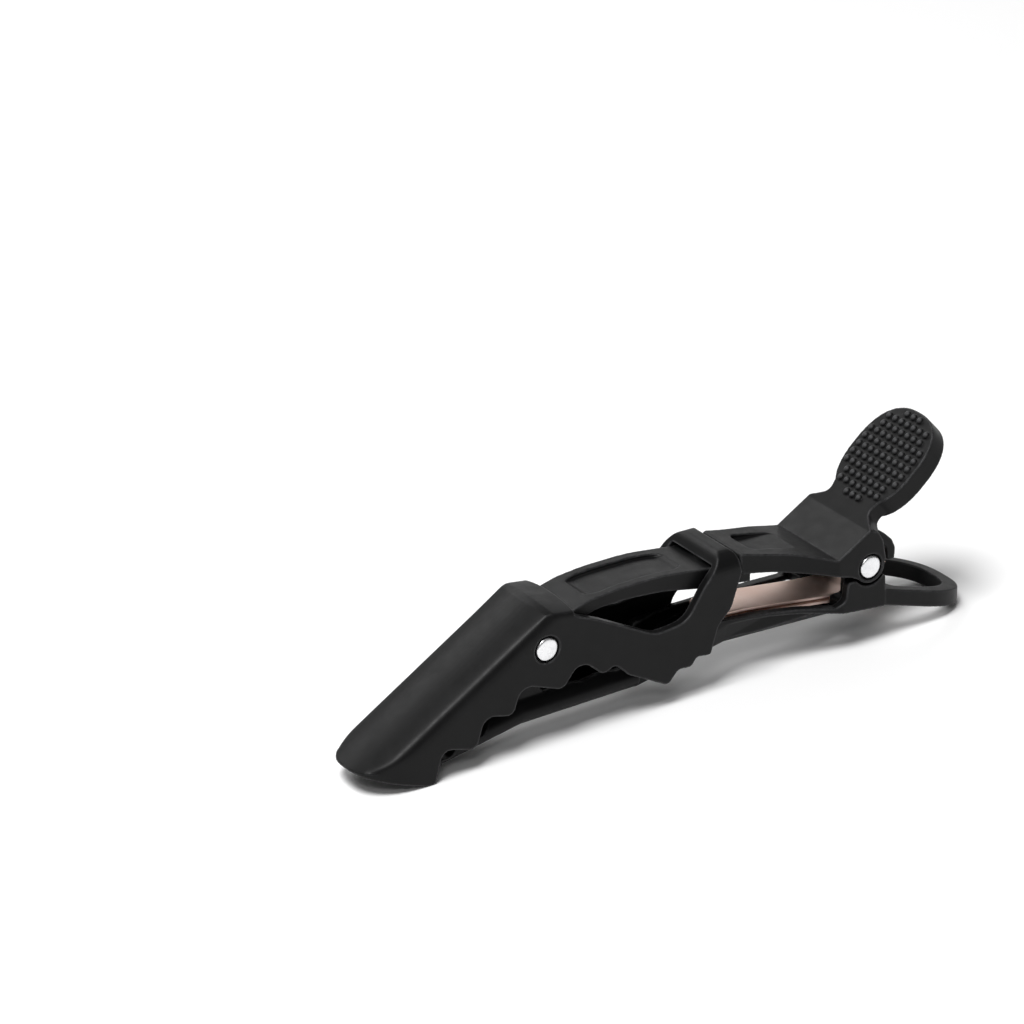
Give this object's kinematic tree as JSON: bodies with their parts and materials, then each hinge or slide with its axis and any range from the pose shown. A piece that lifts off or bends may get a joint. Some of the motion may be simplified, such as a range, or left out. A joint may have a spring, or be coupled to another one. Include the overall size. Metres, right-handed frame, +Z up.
{
  "type": "sectioning clip",
  "caption": "Long-nosed hair sectioning clip: barrel jaw with wave teeth rocking on a spring-loaded thumb lever, over a slim toothed lower jaw that ends in a hanging loop.",
  "frame": {"origin": "on the resting plane, below the middle of the closed clip", "axes": "+X from the nose to the hanging loop, +Y across the clip along the hinge pins, +Z up"},
  "size_m": [0.1158, 0.0172, 0.0338],
  "materials": {
    "black_plastic": "soft satin",
    "pin_steel": "bright, lightly brushed",
    "spring_steel": "copper-tinted"
  },
  "bodies": {
    "base": {"lower_jaw": "black_plastic", "leaf_spring": "spring_steel"},
    "lever": {"thumb_lever": "black_plastic", "rear_pin": "pin_steel"},
    "jaw": {"front_jaw": "black_plastic", "front_pin": "pin_steel"}
  },
  "joints": [
    {"name": "lever_hinge", "type": "hinge", "parent": "base", "child": "lever", "pos_m": [0.0366, 0, 0.01382], "axis": [0, 1, 0], "range_deg": [0, 32], "stiffness_Nm_per_rad": 0.1, "springref_deg": -28.65, "deforming": ["leaf_spring"]},
    {"name": "jaw_rock", "type": "hinge", "parent": "lever", "child": "jaw", "pos_m": [-0.02457, 0, 0.01693], "axis": [0, -1, 0], "range_deg": [0, 5]}
  ]
}
